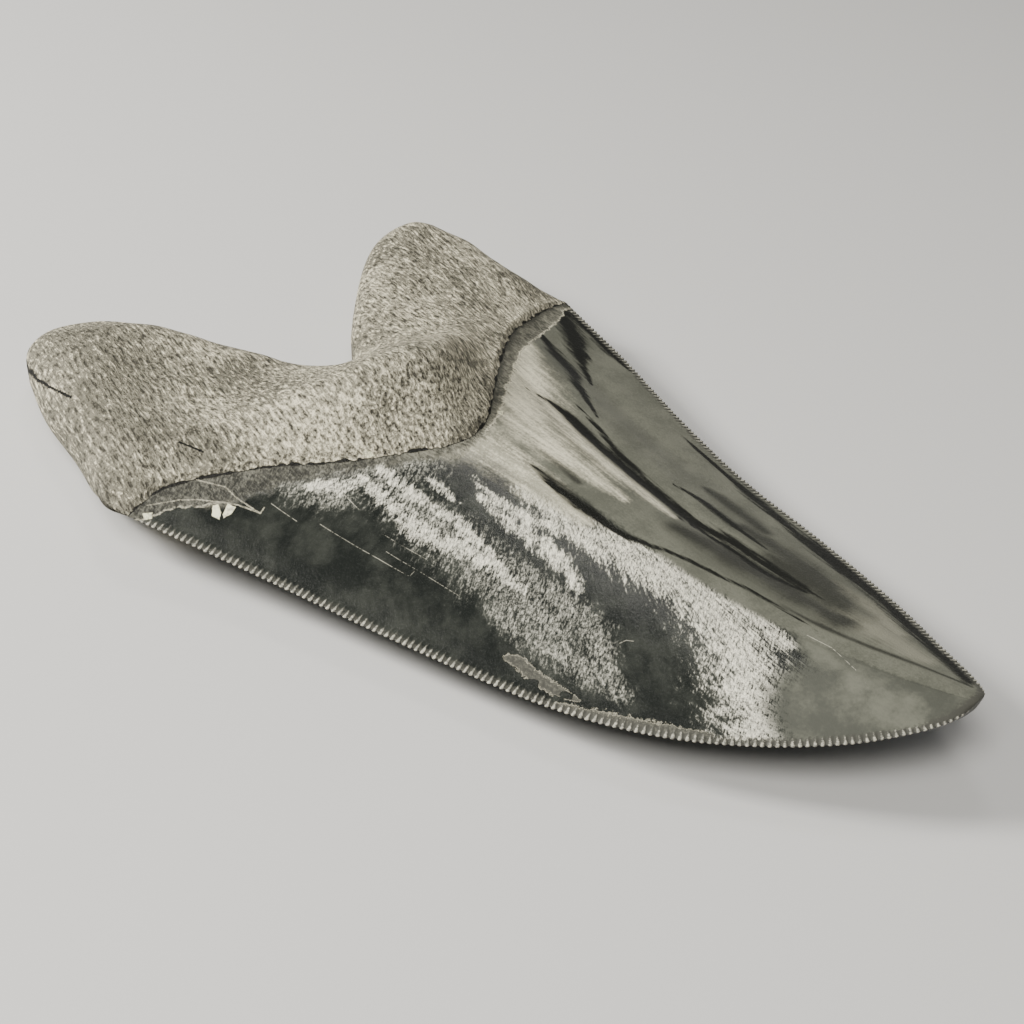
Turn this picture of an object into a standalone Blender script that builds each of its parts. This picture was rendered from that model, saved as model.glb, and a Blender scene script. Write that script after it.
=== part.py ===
"""Fossil megalodon tooth, lying on its lip-side face with the tongue-side face up.

The tooth is one closed solid. It is lofted in rows that run across it from the near
edge to the far edge: crown rows from the root line to the tip, and root rows that
bend from the root line round the two lobes and the notch between them. Both cutting
edges carry fine serrations.

Frame while modelling, in mm: the shoulders lie on x = 0, +X runs to the tip, +Y to
the far shoulder and +Z up. The finished mesh is moved so that the origin is at the
middle of its bounding box, on the ground.
"""
import bpy
import numpy as np

MM = 0.001
NAME = "megalodon_tooth"

# Each curve is drawn smoothly through its points (x, y, z), in mm.
NEAR_EDGE = [
    (0, -45, 8), (20, -39.8, 6.2), (40, -35.9, 5.4), (60, -32.1, 5.4), (73, -27.9, 6.2),
    (83.5, -21.9, 7.3), (92.5, -14.7, 8.9), (98.3, -7.7, 10.4), (100.6, -3.4, 11.3), (101.2, 0.9, 12),
]
FAR_EDGE = [
    (0, 45, 8), (16, 40.2, 6.6), (32, 33.7, 5.9), (48, 27.6, 5.8), (65, 22.2, 6.6),
    (80.5, 15.6, 8.3), (91, 9.7, 10), (97.6, 5.9, 11.1), (100.6, 3.3, 11.8), (101.2, 0.9, 12),
]
NEAR_LOBE_SIDE = [
    (0, -45, 8), (-4.5, -44.6, 6.8), (-9.5, -42.4, 5.8),
    (-19, -38.2, 5), (-30, -34.6, 5), (-39, -30.2, 5.4),
]
FAR_LOBE_SIDE = [(0, 45, 8), (-7, 45, 6.8), (-14, 45.9, 6), (-22.5, 47.9, 6), (-30, 47.5, 6)]
ROOT_END = [
    (-39, -30.2, 5.4), (-44.2, -26.3, 6), (-45.5, -20.5, 7), (-42.2, -14.5, 7.6),
    (-36, -10.6, 7.6), (-28, -8.1, 7.6), (-19.7, -4.9, 7.4), (-12.6, -2.5, 7),
    (-6.6, 0.7, 7), (-8.1, 5, 7), (-15.4, 12.3, 7), (-22.8, 20.8, 7),
    (-29.4, 29.3, 7), (-33.8, 37, 6.8), (-34.2, 43.4, 6.4), (-30, 47.5, 6),
]
# Root line seen from above, (x, y) in mm: a chevron that points to the tip.
ROOT_LINE = [
    (0, -45), (-0.4, -39.5), (2.3, -34.3), (8.8, -26.8), (14.4, -21.8), (20, -15.3), (24.4, -8),
    (23.4, -1.5), (18, 6.4), (12.5, 14), (5, 26), (1, 38), (0, 45),
]

# Crown, tongue side
CREST_RISE = 8.0
CREST_SIDE = -0.08
CREST_TIP_POWER = 3.0
DOME_SHARE = 0.55
CHEVRON_FADE = 1.3
# Flutes on the far half: place across (-1 near edge, 1 far edge), half width, depth, end along
FLUTES = [(0.34, 0.10, 0.8, 0.80), (0.70, 0.09, 0.5, 0.50)]
FLUTE_START = 0.08
FLUTE_FADE = 0.3

# Crown, lip side
LIP_SAG = 0.5
LIP_LIFT = 12.5
LIP_LIFT_START = 0.35
LIP_LIFT_POWER = 2.6
LIP_ROUNDNESS = 2.4

# Root
ROOT_LOW = 12.0
LOBE_END_X = -30.0
LOBE_END_LENGTH = 16.0
LOBE_END_DROP = 3.0
ROOT_BULGE = 11.5
BULGE_AT = (14.0, -8.0)
BULGE_TO_NOTCH = 14.0
BULGE_TO_CROWN = 30.0
BULGE_ACROSS = 28.0
ROOT_TOP_ROUND = 9.0
ROOT_LIP_ROUND = 5.0
ROOT_LIP_Z = 0.9
ROOT_BLEND_END = 0.35
# The root stands a step above the crown, from the root line to half way to its end
ROOT_STEP = 0.7
STEP_ROW = 0.025
STEP_INSET = 6.0
STEP_END = 0.5
# Lumps: turns along and across, and how far and how often each of them wanders
LUMP_HEIGHT = 0.35
LUMP_LENGTH = 13.0
LUMP_TURNS = (3.1, 2.7)
LUMP_WANDER = (1.7, 1.3)
LUMP_WANDER_TURNS = (2.3, 3.7)
LUMP_PHASE = 0.8

# Serrations: three to each gap between crown rows, shallow at the tip and the shoulders
SERRATIONS_PER_ROW = 3
SERRATION_DEPTH = 0.34
SERRATION_FADE = 0.05
SHOULDER_DEPTH_SHARE = 0.3
BLADE_WIDTH = 1.8
BLADE_SHARE = 0.08

# Resolution
CROWN_ROWS = 44
ROOT_ROWS = 14
COLUMNS = 32
CURVE_STEPS = 40
ROOT_ROW_POWER = 1.8
EDGE_POINTS_PER_ROW = 2 * SERRATIONS_PER_ROW
TINY = 1e-9

ENAMEL_COLOUR = (0.16, 0.15, 0.13, 1)
ENAMEL_ROUGHNESS = 0.4


def clear_scene():
    """Remove the scene's objects."""
    for item in list(bpy.data.objects):
        bpy.data.objects.remove(item, do_unlink=True)


def smooth_step(value):
    """Ease from 0 to 1 as value goes from 0 to 1."""
    value = np.clip(value, 0, 1)
    return value * value * (3 - 2 * value)


def smooth_curve(points):
    """Catmull-Rom curve through the points, as a dense polyline."""
    points = np.array(points, float)
    padded = np.vstack([2 * points[0] - points[1], points, 2 * points[-1] - points[-2]])
    u = np.linspace(0, 1, CURVE_STEPS, endpoint=False)[:, None]
    pieces = []
    for a, b, c, d in zip(padded, padded[1:], padded[2:], padded[3:]):
        bend = (2 * a - 5 * b + 4 * c - d) * u ** 2 + (3 * b - a - 3 * c + d) * u ** 3
        pieces.append(b + 0.5 * ((c - a) * u + bend))
    return np.vstack(pieces + [points[-1:]])


def along(curve, share):
    """Points at the given shares of a polyline's length."""
    steps = np.linalg.norm(np.diff(curve, axis=0), axis=1)
    length = np.concatenate([[0], np.cumsum(steps)]) / steps.sum()
    return np.stack([np.interp(share, length, axis) for axis in curve.T], axis=-1)


near_edge = smooth_curve(NEAR_EDGE)
far_edge = smooth_curve(FAR_EDGE)
near_side = smooth_curve(NEAR_LOBE_SIDE)
far_side = smooth_curve(FAR_LOBE_SIDE)
root_end = smooth_curve(ROOT_END)
root_line = smooth_curve(ROOT_LINE)
rim = np.vstack([near_side, root_end, far_side[::-1]])[:, :2]


def root_line_x(y):
    """Distance of the root line from the shoulder line, at y."""
    return np.interp(y, root_line[:, 1], root_line[:, 0])


def rim_distance(x, y):
    """Distance in plan from each point to the rim of the root."""
    spot = np.stack([x, y], axis=-1)[..., None, :]
    start, span = rim[:-1], np.diff(rim, axis=0)
    square = np.maximum((span ** 2).sum(-1), TINY)
    share = np.clip(((spot - start) * span).sum(-1) / square, 0, 1)
    return np.linalg.norm(spot - start - share[..., None] * span, axis=-1).min(-1)


def lumps(x, y):
    """Low uneven swelling of the root's surface, about -1 to 1."""
    a, b = x / LUMP_LENGTH, y / LUMP_LENGTH
    first = LUMP_TURNS[0] * a + LUMP_WANDER[0] * np.sin(LUMP_WANDER_TURNS[0] * b)
    second = LUMP_TURNS[1] * b + LUMP_WANDER[1] * np.sin(LUMP_WANDER_TURNS[1] * a + LUMP_PHASE)
    return np.sin(first) * np.cos(second)


def crown_point(t, across):
    """Point on the plane of the cutting edges: t from root line to tip, across from 0 to 1."""
    near, far = along(near_edge, t), along(far_edge, t)
    point = near + (far - near) * across[..., None]
    shoulder_y = NEAR_EDGE[0][1] + (FAR_EDGE[0][1] - NEAR_EDGE[0][1]) * across
    point[..., 0] += (1 - t) ** CHEVRON_FADE * root_line_x(shoulder_y)
    return point


def crown_top(t, across):
    """Height of the tongue-side face above the edge plane."""
    u = 2 * across - 1
    reach = np.where(u > CREST_SIDE, 1 - CREST_SIDE, 1 + CREST_SIDE)
    w = np.clip(np.abs(u - CREST_SIDE) / reach, 0, 1)
    bell = DOME_SHARE * (1 - w ** 2) + (1 - DOME_SHARE) * np.cos(np.pi * w / 2) ** 2
    height = CREST_RISE * (1 - t ** CREST_TIP_POWER) * bell
    for place, width, depth, end in FLUTES:
        window = smooth_step(t / FLUTE_START) * smooth_step((end - t) / FLUTE_FADE)
        height -= depth * window * np.exp(-((u - place) / width) ** 2)
    return height


def crown_bottom(t, across, edge_z):
    """Height of the lip-side face, which is cut flat where it rests on the ground."""
    lift = np.clip((t - LIP_LIFT_START) / (1 - LIP_LIFT_START), 0, 1) ** LIP_LIFT_POWER
    middle = LIP_LIFT * lift - LIP_SAG
    round_off = 1 - np.abs(2 * across - 1) ** LIP_ROUNDNESS
    return np.maximum(edge_z - (edge_z - middle) * round_off, 0)


def root_point(v, across):
    """Coons patch between the root line, the two lobe sides and the root's end."""
    zero, one = np.zeros_like(across), np.ones_like(across)
    line, end = crown_point(zero, across), along(root_end, across)
    near, far = along(near_side, v), along(far_side, v)
    a, b = across[..., None], v[..., None]
    near_corner, far_corner = along(root_end, zero), along(root_end, one)
    corners = (1 - b) * ((1 - a) * along(near_edge, zero) + a * along(far_edge, zero))
    corners += b * ((1 - a) * near_corner + a * far_corner)
    return (1 - b) * line + b * end + (1 - a) * near + a * far - corners


def root_heights(v, across, point):
    """Heights of the root's upper and lower faces."""
    x, y, rim_z = point[..., 0], point[..., 1], point[..., 2]
    inset = rim_distance(x, y)
    length = np.where(x < BULGE_AT[0], BULGE_TO_NOTCH, BULGE_TO_CROWN)
    bulge = np.exp(-((x - BULGE_AT[0]) / length) ** 2 - ((y - BULGE_AT[1]) / BULGE_ACROSS) ** 2)
    high = ROOT_LOW + ROOT_BULGE * bulge + LUMP_HEIGHT * lumps(x, y)
    high -= LOBE_END_DROP * smooth_step((LOBE_END_X - x) / LOBE_END_LENGTH)
    top_round = np.sqrt(1 - (1 - np.clip(inset / ROOT_TOP_ROUND, 0, 1)) ** 2)
    lip_round = np.sqrt(1 - (1 - np.clip(inset / ROOT_LIP_ROUND, 0, 1)) ** 2)
    zero = np.zeros_like(v)
    crown_z = crown_point(zero, across)[..., 2]
    blend = smooth_step(v / ROOT_BLEND_END)
    top = (1 - blend) * (crown_z + crown_top(zero, across)) + blend * (rim_z + (high - rim_z) * top_round)
    step_share = smooth_step(v / STEP_ROW) * smooth_step((STEP_END - v) / STEP_END)
    top += ROOT_STEP * step_share * smooth_step(inset / STEP_INSET)
    low = (1 - blend) * crown_bottom(zero, across, crown_z)
    low += blend * (rim_z - (rim_z - ROOT_LIP_Z) * lip_round)
    return top, np.maximum(low, 0)


def column_shares(width):
    """Shares across a row for each column, with one column at the blade's width."""
    blade = np.minimum(BLADE_WIDTH / np.maximum(width, TINY), BLADE_SHARE)
    inner = np.linspace(0, 1, COLUMNS - 1)
    shares = blade[:, None] + (1 - 2 * blade[:, None]) * inner
    return np.hstack([np.zeros((len(width), 1)), shares, np.ones((len(width), 1))])


def crown_rows():
    """Upper and lower points of the crown rows from the root line to just before the tip."""
    t = np.arange(CROWN_ROWS) / CROWN_ROWS
    width = np.linalg.norm(along(far_edge, t) - along(near_edge, t), axis=1)
    across = column_shares(width)
    t = np.broadcast_to(t[:, None], across.shape)
    point = crown_point(t, across)
    upper, lower = point.copy(), point.copy()
    upper[..., 2] += crown_top(t, across)
    lower[..., 2] = crown_bottom(t, across, point[..., 2])
    return upper, lower


def root_rows():
    """Upper and lower points of the root rows from the root's end to just before the root line."""
    steps = np.arange(ROOT_ROWS) / ROOT_ROWS
    v = np.append(1 - steps ** ROOT_ROW_POWER, STEP_ROW)
    width = np.full(len(v), FAR_EDGE[0][1] - NEAR_EDGE[0][1])
    across = column_shares(width)
    v = np.broadcast_to(v[:, None], across.shape)
    point = root_point(v, across)
    upper, lower = point.copy(), point.copy()
    upper[..., 2], lower[..., 2] = root_heights(v, across, point)
    return upper, lower


def serrated_edge(edge, outward):
    """Points along one cutting edge: notches on the rows, and points and notches between them."""
    count = CROWN_ROWS * EDGE_POINTS_PER_ROW
    t = np.arange(count) / count
    point = along(edge, t)
    heading = along(edge, t + 0.5 / count) - along(edge, np.maximum(t - 0.5 / count, 0))
    normal = np.stack([heading[:, 1], -heading[:, 0]], axis=1) * outward
    normal /= np.linalg.norm(normal, axis=1)[:, None]
    depth = SERRATION_DEPTH * (np.arange(count) % 2 == 0) * smooth_step((1 - t) / SERRATION_FADE)
    depth *= SHOULDER_DEPTH_SHARE + (1 - SHOULDER_DEPTH_SHARE) * smooth_step(t / SERRATION_FADE)
    depth[0] = 0
    point[:, :2] -= depth[:, None] * normal
    return point


class ToothMesh:
    """Vertices and faces of the tooth, built row by row."""

    def __init__(self):
        self.points = []
        self.faces = []

    def add(self, points):
        """Store points and return their numbers."""
        first = len(self.points)
        self.points.extend(np.asarray(points, float).reshape(-1, 3))
        return list(range(first, len(self.points)))

    def strip(self, row, following, up):
        """Quads between two rows of the same length, split into triangles, mirrored at the middle."""
        half = len(row) // 2
        for index, (a, b, c, d) in enumerate(zip(row, row[1:], following[1:], following)):
            if index < half:
                self.triangle(a, b, c, up)
                self.triangle(a, c, d, up)
            else:
                self.triangle(a, b, d, up)
                self.triangle(b, c, d, up)

    def fan(self, hub, path, up):
        """Triangles from one point to each piece of a path."""
        for a, b in zip(path, path[1:]):
            self.triangle(hub, a, b, up)

    def triangle(self, a, b, c, up):
        """One face, left out where two of its points are the same, facing up or down."""
        if len({a, b, c}) == 3:
            self.faces.append((a, b, c) if up else (a, c, b))


def join_crown(mesh, rows, near, far, tip, upper):
    """Faces between the crown rows, with fans out to the cutting edges and the tip."""
    for index, (row, following) in enumerate(zip(rows, rows[1:])):
        mesh.strip(row[1:-1], following[1:-1], not upper)
        start = index * EDGE_POINTS_PER_ROW
        stop = start + EDGE_POINTS_PER_ROW + 1
        mesh.fan(following[1], near[start:stop], upper)
        mesh.triangle(following[1], row[1], near[start], upper)
        mesh.fan(following[-2], far[start:stop], not upper)
        mesh.triangle(following[-2], row[-2], far[start], not upper)
    last = rows[-1]
    start = (CROWN_ROWS - 1) * EDGE_POINTS_PER_ROW
    mesh.fan(tip, last[1:-1], not upper)
    mesh.fan(last[1], near[start:] + [tip], upper)
    mesh.fan(last[-2], far[start:] + [tip], not upper)


def build_mesh():
    """Both faces of the tooth, sharing the root's rim, the cutting edges and the tip."""
    mesh = ToothMesh()
    near = mesh.add(serrated_edge(near_edge, 1))
    far = mesh.add(serrated_edge(far_edge, -1))
    tip = mesh.add([NEAR_EDGE[-1]])[0]
    root_sides, crown_sides = root_rows(), crown_rows()
    root_end_row = mesh.add(root_sides[0][0])
    root_ends = [mesh.add(row[[0, -1]]) for row in root_sides[0][1:]]
    crown_ends = list(zip(near[::EDGE_POINTS_PER_ROW], far[::EDGE_POINTS_PER_ROW]))
    for upper, root, crown in zip((True, False), root_sides, crown_sides):
        root_ids = [[first] + mesh.add(row[1:-1]) + [last] for (first, last), row in zip(root_ends, root[1:])]
        crown_ids = [[first] + mesh.add(row[1:-1]) + [last] for (first, last), row in zip(crown_ends, crown)]
        rows = [root_end_row] + root_ids + crown_ids[:1]
        for row, following in zip(rows, rows[1:]):
            mesh.strip(row, following, not upper)
        join_crown(mesh, crown_ids, near, far, tip, upper)
    return mesh


def tooth_material():
    """Dark glossy enamel, as one material for the solid."""
    material = bpy.data.materials.new("fossil_tooth")
    material.use_nodes = True
    shader = material.node_tree.nodes["Principled BSDF"]
    shader.inputs["Base Color"].default_value = ENAMEL_COLOUR
    shader.inputs["Roughness"].default_value = ENAMEL_ROUGHNESS
    return material


def build_tooth():
    """The whole tooth as one object, on the ground and centred on the origin."""
    built = build_mesh()
    points = np.array(built.points)
    low, high = points.min(0), points.max(0)
    points -= ((low[0] + high[0]) / 2, (low[1] + high[1]) / 2, low[2])
    mesh = bpy.data.meshes.new(NAME)
    mesh.from_pydata((points * MM).tolist(), [], built.faces)
    mesh.validate()
    mesh.materials.append(tooth_material())
    tooth = bpy.data.objects.new(NAME, mesh)
    collection = bpy.data.collections.new("fossil_megalodon_tooth")
    bpy.context.scene.collection.children.link(collection)
    collection.objects.link(tooth)
    return tooth


clear_scene()
build_tooth()
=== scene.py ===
import math
import bpy
import numpy as np
from mathutils import Matrix, Vector


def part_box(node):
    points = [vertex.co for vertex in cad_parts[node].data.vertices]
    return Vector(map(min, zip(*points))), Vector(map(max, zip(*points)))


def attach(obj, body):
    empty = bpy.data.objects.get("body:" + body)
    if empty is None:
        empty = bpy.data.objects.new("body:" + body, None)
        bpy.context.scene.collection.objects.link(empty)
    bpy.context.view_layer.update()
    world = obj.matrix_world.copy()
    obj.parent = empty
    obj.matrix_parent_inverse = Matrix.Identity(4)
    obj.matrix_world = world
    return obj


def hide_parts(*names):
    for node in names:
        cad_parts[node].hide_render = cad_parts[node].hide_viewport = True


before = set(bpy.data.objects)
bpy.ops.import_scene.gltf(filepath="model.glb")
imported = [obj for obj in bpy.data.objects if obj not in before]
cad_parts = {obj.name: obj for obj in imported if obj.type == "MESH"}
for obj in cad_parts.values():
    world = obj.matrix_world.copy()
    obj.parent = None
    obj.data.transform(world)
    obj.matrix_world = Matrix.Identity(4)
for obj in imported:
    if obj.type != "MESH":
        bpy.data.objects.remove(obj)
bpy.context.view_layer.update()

# The tooth's shape: crown, collar and root grew as one piece, now mineral. It is one closed
# skin of crown rows from the root line to the tip and root rows round the two lobes, with
# finer rows in the two serrated blades. Lengths are in mm, with the shoulders on x = 0.
MM = 0.001
NODE = "megalodon_tooth"
NEAR_EDGE = [
    (0, -45, 8), (20, -39.8, 6.2), (40, -35.9, 5.4), (60, -32.1, 5.4), (73, -27.9, 6.2),
    (83.5, -21.9, 7.3), (92.5, -14.7, 8.9), (98.3, -7.7, 10.4), (100.6, -3.4, 11.3), (101.2, 0.9, 12),
]
FAR_EDGE = [
    (0, 45, 8), (16, 40.2, 6.6), (32, 33.7, 5.9), (48, 27.6, 5.8), (65, 22.2, 6.6),
    (80.5, 15.6, 8.3), (91, 9.7, 10), (97.6, 5.9, 11.1), (100.6, 3.3, 11.8), (101.2, 0.9, 12),
]
NEAR_LOBE_SIDE = [
    (0, -45, 8), (-4.5, -44.6, 6.8), (-9.5, -42.4, 5.8), (-19, -38.2, 5), (-30, -34.6, 5),
    (-39, -30.2, 5.4),
]
FAR_LOBE_SIDE = [(0, 45, 8), (-7, 45, 6.8), (-14, 45.9, 6), (-22.5, 47.9, 6), (-30, 47.5, 6)]
ROOT_END = [
    (-39, -30.2, 5.4), (-44.2, -26.3, 6), (-45.5, -20.5, 7), (-42.2, -14.5, 7.6), (-36, -10.6, 7.6),
    (-28, -8.1, 7.6), (-19.7, -4.9, 7.4), (-12.6, -2.5, 7), (-6.6, 0.7, 7), (-8.1, 5, 7),
    (-15.4, 12.3, 7), (-22.8, 20.8, 7), (-29.4, 29.3, 7), (-33.8, 37, 6.8), (-34.2, 43.4, 6.4),
    (-30, 47.5, 6),
]
ROOT_LINE = [
    (0, -45), (-0.4, -39.5), (2.3, -34.3), (8.8, -26.8), (14.4, -21.8), (20, -15.3), (24.4, -8),
    (23.4, -1.5), (18, 6.4), (12.5, 14), (5, 26), (1, 38), (0, 45),
]
COLLAR_LINE = [
    (1.4, -45), (2.4, -43), (3.5, -40), (6.5, -36.5), (9.5, -32), (13.2, -26.5), (17, -21.8), (21.8, -16),
    (25.8, -10), (26.2, -5.5), (24.2, 0), (21, 5.4), (17.8, 10), (11.6, 20), (7.4, 28.8), (5, 36), (1.2, 45),
]
LIP_LINE_ARCH = 7.0

CREST_RISE, CREST_SIDE, CREST_TIP_POWER = 8.0, -0.08, 3.0
DOME_SHARE, CHEVRON_FADE = 0.55, 1.3
# Each flute: its place across from -1 to 1, half width, depth in mm and end along the crown.
FLUTES = [(0.34, 0.10, 0.8, 0.80), (0.70, 0.09, 0.5, 0.50)]
FLUTE_START, FLUTE_FADE = 0.08, 0.3
LIP_SAG, LIP_LIFT, LIP_LIFT_START, LIP_LIFT_POWER, LIP_ROUNDNESS = 0.5, 12.5, 0.35, 2.6, 2.4
ROOT_LOW, LOBE_END_X, LOBE_END_LENGTH, LOBE_END_DROP = 12.0, -30.0, 16.0, 3.0
ROOT_BULGE, BULGE_AT = 11.5, (14.0, -8.0)
BULGE_TO_NOTCH, BULGE_TO_CROWN, BULGE_ACROSS = 14.0, 30.0, 28.0
ROOT_TOP_ROUND, ROOT_LIP_ROUND, ROOT_LIP_Z = 9.0, 5.0, 0.9
ROOT_BLEND_END = 0.35
ROOT_STEP, STEP_SHARE, STEP_INSET, STEP_END = 0.7, 0.025, 6.0, 0.5
LUMP_HEIGHT, LUMP_LENGTH = 0.35, 13.0
COLLAR_SINK, COLLAR_STEP_WIDTH = 0.14, 0.8
# Each layer of the root's grain: its cell and its depth in mm, and its seed.
ROOT_GRAIN = [(6.5, 0.16, 3), (3.2, 0.10, 4), (1.9, 0.06, 5)]
GRAIN_INSET = 3.0

SERRATIONS, FINE_ROWS_EACH, ROWS_EACH = 132, 8, 2
SERRATION_DEPTH, SERRATION_FADE = 0.34, 0.05
BLADE_WIDTH, BLADE_SHARE, BLADE_COLUMNS = 1.8, 0.08, 6
RIB_HEIGHT = 0.12
COLUMNS, ROOT_ROWS = 97, 102
RIPPLE_HEIGHT, RIPPLE_END, RIPPLE_FADE, RIPPLE_SIDE_FADE = 0.014, 0.85, 0.3, 0.2
CURVE_STEPS = 40


def smooth_step(value):
    """3v^2 - 2v^3 with v kept between 0 and 1."""
    value = np.clip(value, 0, 1)
    return value * value * (3 - 2 * value)


def smooth_curve(points):
    """Catmull-Rom cubic between each two points, with tangents of half the span of their neighbours."""
    points = np.array(points, float)
    padded = np.vstack([2 * points[0] - points[1], points, 2 * points[-1] - points[-2]])
    u = np.linspace(0, 1, CURVE_STEPS, endpoint=False)[:, None]
    pieces = []
    for a, b, c, d in zip(padded, padded[1:], padded[2:], padded[3:]):
        bend = (2 * a - 5 * b + 4 * c - d) * u ** 2 + (3 * b - a - 3 * c + d) * u ** 3
        pieces.append(b + 0.5 * ((c - a) * u + bend))
    return np.vstack(pieces + [points[-1:]])


def along(curve, share):
    """Point at a share of the curve's length, by linear interpolation over the running length."""
    steps = np.linalg.norm(np.diff(curve, axis=0), axis=1)
    length = np.concatenate([[0], np.cumsum(steps)]) / steps.sum()
    return np.stack([np.interp(share, length, axis) for axis in curve.T], axis=-1)


def lattice_noise(x, y, cell, seed):
    """Seeded random heights from -1 to 1 on a square lattice of one cell, eased between its points."""
    heights = np.random.default_rng(seed).uniform(-1, 1, (256, 256))
    a, b = x / cell + 128, y / cell + 128
    column, row = np.floor(a).astype(int) % 255, np.floor(b).astype(int) % 255
    across, along_it = smooth_step(a - np.floor(a)), smooth_step(b - np.floor(b))
    low = heights[column, row] * (1 - across) + heights[column + 1, row] * across
    high = heights[column, row + 1] * (1 - across) + heights[column + 1, row + 1] * across
    return low * (1 - along_it) + high * along_it


def border_gap(x, y, line):
    """Distance in plan to a border given as x over y, corrected for its slope: positive to the tip."""
    slope = np.diff(line[:, 0]) / np.maximum(np.diff(line[:, 1]), 1e-3)
    slope = np.interp(y, (line[1:, 1] + line[:-1, 1]) / 2, slope)
    return (x - np.interp(y, line[:, 1], line[:, 0])) / np.sqrt(1 + slope ** 2)


def path_distance(x, y, path):
    """Shortest distance in plan to a path's pieces, and how far along the path it is, from 0 to 1."""
    spot = np.stack([x, y], axis=-1)
    best = np.full(x.shape, np.inf)
    place = np.zeros(x.shape)
    for index, (start, end) in enumerate(zip(path[:-1, :2], path[1:, :2])):
        span = end - start
        share = np.clip(((spot - start) @ span) / max(span @ span, 1e-12), 0, 1)
        gap = np.linalg.norm(spot - start - share[..., None] * span, axis=-1)
        place = np.where(gap < best, (index + share) / (len(path) - 1), place)
        best = np.minimum(best, gap)
    return best, place


near_edge, far_edge = smooth_curve(NEAR_EDGE), smooth_curve(FAR_EDGE)
near_side, far_side = smooth_curve(NEAR_LOBE_SIDE), smooth_curve(FAR_LOBE_SIDE)
root_end, root_line, collar_line = smooth_curve(ROOT_END), smooth_curve(ROOT_LINE), smooth_curve(COLLAR_LINE)
root_rim = np.vstack([near_side, root_end, far_side[::-1]])[::5, :2]


def crown_point(t, across):
    """Straight mix of the two edges at share t, pushed to the tip by the root line's x times (1 - t)^1.3."""
    near, far = along(near_edge, t), along(far_edge, t)
    point = near + (far - near) * across[..., None]
    shoulder_y = NEAR_EDGE[0][1] + (FAR_EDGE[0][1] - NEAR_EDGE[0][1]) * across
    point[..., 0] += (1 - t) ** CHEVRON_FADE * np.interp(shoulder_y, root_line[:, 1], root_line[:, 0])
    return point


def crest_share(across):
    """Signed share from the crest, -1 at the near edge, 0 on the crest and 1 at the far edge."""
    u = 2 * across - 1 - CREST_SIDE
    return np.clip(np.where(u > 0, u / (1 - CREST_SIDE), u / (1 + CREST_SIDE)), -1, 1)


def near_flow(t, across):
    """Line of growth on the near half, t - 0.3 ln(1 + 3.7 w): along the crest, then out to the edge."""
    return t - 0.3 * np.log(1 + 3.7 * np.maximum(-crest_share(across), 0))


def crown_top(t, across):
    """Rise over the edges: (1 - t^3) times a mix of 1 - w^2 and cos^2, less two bell-shaped flutes.

    Faint sine ripples follow the lines of growth: along and outwards on the near half, straight
    along on the far half. They fade out at the edges and towards the tip.
    """
    u = 2 * across - 1
    w = np.abs(crest_share(across))
    bell = DOME_SHARE * (1 - w ** 2) + (1 - DOME_SHARE) * np.cos(np.pi * w / 2) ** 2
    height = CREST_RISE * (1 - t ** CREST_TIP_POWER) * bell
    for place, width, depth, end in FLUTES:
        window = smooth_step(t / FLUTE_START) * smooth_step((end - t) / FLUTE_FADE)
        height -= depth * window * np.exp(-((u - place) / width) ** 2)
    near, far = near_flow(t, across), crest_share(across) + 0.06 * np.sin(7 * t)
    near_ripple = np.sin(70 * near) + 0.7 * np.sin(113 * near + 2 * np.sin(5 * w))
    far_ripple = np.sin(38 * far) + 0.7 * np.sin(67 * far + 1)
    ripple = near_ripple + (far_ripple - near_ripple) * smooth_step((u - CREST_SIDE) / RIPPLE_SIDE_FADE + 0.5)
    fade = smooth_step((1 - w) / RIPPLE_SIDE_FADE) * smooth_step((RIPPLE_END - t) / RIPPLE_FADE)
    return height + RIPPLE_HEIGHT * ripple * fade


def crown_bottom(t, across, edge_z):
    """Edge height less a sag of 1 - |u|^2.4, to a middle that lifts to the tip by t^2.6, cut flat at 0."""
    lift = np.clip((t - LIP_LIFT_START) / (1 - LIP_LIFT_START), 0, 1) ** LIP_LIFT_POWER
    middle = LIP_LIFT * lift - LIP_SAG
    round_off = 1 - np.abs(2 * across - 1) ** LIP_ROUNDNESS
    return np.maximum(edge_z - (edge_z - middle) * round_off, 0)


def root_point(v, across):
    """Coons patch: both pairs of opposite sides mixed and summed, less the mix of the four corners."""
    zero, one = np.zeros_like(across), np.ones_like(across)
    line, end = crown_point(zero, across), along(root_end, across)
    near, far = along(near_side, v), along(far_side, v)
    a, b = across[..., None], v[..., None]
    corners = (1 - b) * ((1 - a) * along(near_edge, zero) + a * along(far_edge, zero))
    corners += b * ((1 - a) * along(root_end, zero) + a * along(root_end, one))
    return (1 - b) * line + b * end + (1 - a) * near + a * far - corners


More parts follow.
